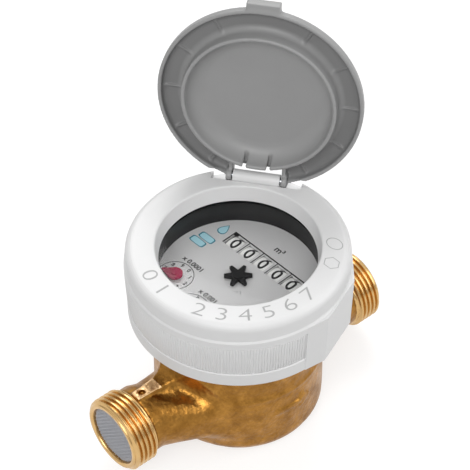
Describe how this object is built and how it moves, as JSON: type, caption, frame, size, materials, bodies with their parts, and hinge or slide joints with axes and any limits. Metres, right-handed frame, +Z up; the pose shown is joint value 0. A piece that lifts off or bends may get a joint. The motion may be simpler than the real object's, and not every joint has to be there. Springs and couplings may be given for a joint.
{
  "type": "water meter",
  "caption": "Cold water meter: cast brass body with threaded pipe ends, plastic cap round a dial with digit rollers and pointers, and a hinged lid over the window",
  "frame": {"origin": "middle of the flat base face", "axes": "+Z up, +X along the pipe the way the water flows, +Y across the pipe"},
  "size_m": [0.11, 0.0886, 0.1401],
  "materials": {
    "cast_brass": "rough cast, machined at the ends",
    "brass_ring": "machined",
    "strainer_plastic": "moulded",
    "bearing_plastic": "polished",
    "rotor_plastic": "moulded",
    "steel": "turned",
    "magnet": "sintered",
    "plate_metal": "machined",
    "rubber": "moulded",
    "black_plastic": "moulded",
    "gear_plastic": "moulded",
    "red_plastic": "moulded",
    "roller_plastic": "printed",
    "pinion_plastic": "moulded",
    "pillar_brass": "turned",
    "dial_face": "printed",
    "clear_lens": "clear",
    "white_plastic": "moulded",
    "grey_plastic": "moulded"
  },
  "bodies": {
    "meter": {"meter_body": "cast_brass", "clamp_ring": "brass_ring", "inlet_strainer": "strainer_plastic", "lower_bearing": "bearing_plastic", "upper_bearing": "bearing_plastic", "roller_axle": "steel", "transfer_axle": "steel", "hinge_pin": "steel", "separating_plate": "plate_metal", "movement_plate": "plate_metal", "plate_o_ring": "rubber", "window_gasket": "rubber", "register_housing": "black_plastic", "dial_ring": "black_plastic", "plate_pillars": "pillar_brass", "dial_plate": "dial_face", "window_lens": "clear_lens", "cap": "white_plastic", "lock_ring": "white_plastic"},
    "lid": {"lid": "grey_plastic"},
    "impeller_rotor": {"impeller": "rotor_plastic", "impeller_spindle": "steel", "drive_magnet": "magnet"},
    "centre_rotor": {"follower_magnet": "magnet", "centre_arbor": "gear_plastic", "flow_star": "black_plastic"},
    "first_wheel_body": {"first_wheel": "gear_plastic"},
    "pointer_1_body": {"pointer_arbor_1": "gear_plastic", "pointer_1": "red_plastic"},
    "step_wheel_1_body": {"step_wheel_1": "gear_plastic"},
    "pointer_2_body": {"pointer_arbor_2": "gear_plastic", "pointer_2": "red_plastic"},
    "step_wheel_2_body": {"step_wheel_2": "gear_plastic"},
    "pointer_3_body": {"pointer_arbor_3": "gear_plastic", "pointer_3": "red_plastic"},
    "step_wheel_3_body": {"step_wheel_3": "gear_plastic"},
    "pointer_4_body": {"pointer_arbor_4": "gear_plastic", "pointer_4": "red_plastic"},
    "idler_body": {"idler_wheel": "gear_plastic"},
    "worm_body": {"worm_arbor": "gear_plastic"},
    "digit_roller_1_body": {"digit_roller_1": "roller_plastic"},
    "transfer_pinion_1_body": {"transfer_pinion_1": "pinion_plastic"},
    "digit_roller_2_body": {"digit_roller_2": "roller_plastic"},
    "transfer_pinion_2_body": {"transfer_pinion_2": "pinion_plastic"},
    "digit_roller_3_body": {"digit_roller_3": "roller_plastic"},
    "transfer_pinion_3_body": {"transfer_pinion_3": "pinion_plastic"},
    "digit_roller_4_body": {"digit_roller_4": "roller_plastic"},
    "transfer_pinion_4_body": {"transfer_pinion_4": "pinion_plastic"},
    "digit_roller_5_body": {"digit_roller_5": "roller_plastic"}
  },
  "joints": [
    {"name": "lid_hinge", "type": "hinge", "parent": "meter", "child": "lid", "pos_m": [0.02459, 0.01921, 0.0729], "axis": [-0.6157, 0.788, 0], "range_deg": [-96.6, 0]},
    {"name": "impeller_spin", "type": "hinge", "parent": "meter", "child": "impeller_rotor", "pos_m": [0, 0, 0.018], "axis": [0, 0, -1], "continuous": true},
    {"name": "centre_spin", "type": "hinge", "parent": "meter", "child": "centre_rotor", "pos_m": [0, 0, 0.045], "axis": [0, 0, -1], "continuous": true},
    {"name": "first_wheel_spin", "type": "hinge", "parent": "meter", "child": "first_wheel_body", "pos_m": [-0.01101, 0.00733, 0.048], "axis": [0, 0, -1], "continuous": true},
    {"name": "pointer_1_spin", "type": "hinge", "parent": "meter", "child": "pointer_1_body", "pos_m": [-0.01516, 0.01439, 0.052], "axis": [0, 0, -1], "continuous": true},
    {"name": "step_wheel_1_spin", "type": "hinge", "parent": "meter", "child": "step_wheel_1_body", "pos_m": [-0.01904, 0.0079, 0.052], "axis": [0, 0, -1], "continuous": true},
    {"name": "pointer_2_spin", "type": "hinge", "parent": "meter", "child": "pointer_2_body", "pos_m": [-0.0209, -0.00007, 0.052], "axis": [0, 0, -1], "continuous": true},
    {"name": "step_wheel_2_spin", "type": "hinge", "parent": "meter", "child": "step_wheel_2_body", "pos_m": [-0.01923, -0.00744, 0.052], "axis": [0, 0, -1], "continuous": true},
    {"name": "pointer_3_spin", "type": "hinge", "parent": "meter", "child": "pointer_3_body", "pos_m": [-0.01506, -0.01449, 0.052], "axis": [0, 0, -1], "continuous": true},
    {"name": "step_wheel_3_spin", "type": "hinge", "parent": "meter", "child": "step_wheel_3_body", "pos_m": [-0.00876, -0.01866, 0.052], "axis": [0, 0, -1], "continuous": true},
    {"name": "pointer_4_spin", "type": "hinge", "parent": "meter", "child": "pointer_4_body", "pos_m": [-0.00088, -0.02088, 0.052], "axis": [0, 0, -1], "continuous": true},
    {"name": "idler_spin", "type": "hinge", "parent": "meter", "child": "idler_body", "pos_m": [0.00379, -0.02078, 0.054], "axis": [0, 0, -1], "continuous": true},
    {"name": "worm_spin", "type": "hinge", "parent": "meter", "child": "worm_body", "pos_m": [0.00835, -0.01979, 0.049], "axis": [0, 0, -1], "continuous": true},
    {"name": "digit_roller_1_spin", "type": "hinge", "parent": "meter", "child": "digit_roller_1_body", "pos_m": [0.01156, -0.01427, 0.0491], "axis": [-0.0523, 0.9986, 0], "continuous": true},
    {"name": "transfer_pinion_1_spin", "type": "hinge", "parent": "meter", "child": "transfer_pinion_1_body", "pos_m": [0.01685, -0.00973, 0.04414], "axis": [-0.0523, 0.9986, 0], "continuous": true},
    {"name": "digit_roller_2_spin", "type": "hinge", "parent": "meter", "child": "digit_roller_2_body", "pos_m": [0.0112, -0.00743, 0.0491], "axis": [-0.0523, 0.9986, 0], "continuous": true},
    {"name": "transfer_pinion_2_spin", "type": "hinge", "parent": "meter", "child": "transfer_pinion_2_body", "pos_m": [0.0165, -0.00314, 0.04414], "axis": [-0.0523, 0.9986, 0], "continuous": true},
    {"name": "digit_roller_3_spin", "type": "hinge", "parent": "meter", "child": "digit_roller_3_body", "pos_m": [0.01086, -0.00084, 0.0491], "axis": [-0.0523, 0.9986, 0], "continuous": true},
    {"name": "transfer_pinion_3_spin", "type": "hinge", "parent": "meter", "child": "transfer_pinion_3_body", "pos_m": [0.01616, 0.00345, 0.04414], "axis": [-0.0523, 0.9986, 0], "continuous": true},
    {"name": "digit_roller_4_spin", "type": "hinge", "parent": "meter", "child": "digit_roller_4_body", "pos_m": [0.01051, 0.00575, 0.0491], "axis": [-0.0523, 0.9986, 0], "continuous": true},
    {"name": "transfer_pinion_4_spin", "type": "hinge", "parent": "meter", "child": "transfer_pinion_4_body", "pos_m": [0.01581, 0.01004, 0.04414], "axis": [-0.0523, 0.9986, 0], "continuous": true},
    {"name": "digit_roller_5_spin", "type": "hinge", "parent": "meter", "child": "digit_roller_5_body", "pos_m": [0.01017, 0.01234, 0.0491], "axis": [-0.0523, 0.9986, 0], "continuous": true}
  ],
  "couplings": [
    {"joint": "centre_spin", "follows": "impeller_spin", "ratio": 1},
    {"joint": "first_wheel_spin", "follows": "impeller_spin", "ratio": -0.16667},
    {"joint": "pointer_1_spin", "follows": "impeller_spin", "ratio": 0.05},
    {"joint": "step_wheel_1_spin", "follows": "impeller_spin", "ratio": -0.016667},
    {"joint": "pointer_2_spin", "follows": "impeller_spin", "ratio": 0.005},
    {"joint": "step_wheel_2_spin", "follows": "impeller_spin", "ratio": -0.0016667},
    {"joint": "pointer_3_spin", "follows": "impeller_spin", "ratio": 0.0005},
    {"joint": "step_wheel_3_spin", "follows": "impeller_spin", "ratio": -0.00016667},
    {"joint": "pointer_4_spin", "follows": "impeller_spin", "ratio": 0.00005},
    {"joint": "idler_spin", "follows": "impeller_spin", "ratio": -0.000041667},
    {"joint": "worm_spin", "follows": "impeller_spin", "ratio": 0.00005},
    {"joint": "digit_roller_1_spin", "follows": "impeller_spin", "ratio": 0.000005},
    {"joint": "transfer_pinion_1_spin", "follows": "impeller_spin", "ratio": -0.00000125},
    {"joint": "digit_roller_2_spin", "follows": "impeller_spin", "ratio": 0.0000005},
    {"joint": "transfer_pinion_2_spin", "follows": "impeller_spin", "ratio": -0.000000125},
    {"joint": "digit_roller_3_spin", "follows": "impeller_spin", "ratio": 0.00000005},
    {"joint": "transfer_pinion_3_spin", "follows": "impeller_spin", "ratio": -0.0000000125},
    {"joint": "digit_roller_4_spin", "follows": "impeller_spin", "ratio": 0.000000005},
    {"joint": "transfer_pinion_4_spin", "follows": "impeller_spin", "ratio": -0.00000000125},
    {"joint": "digit_roller_5_spin", "follows": "impeller_spin", "ratio": 0.0000000005}
  ]
}
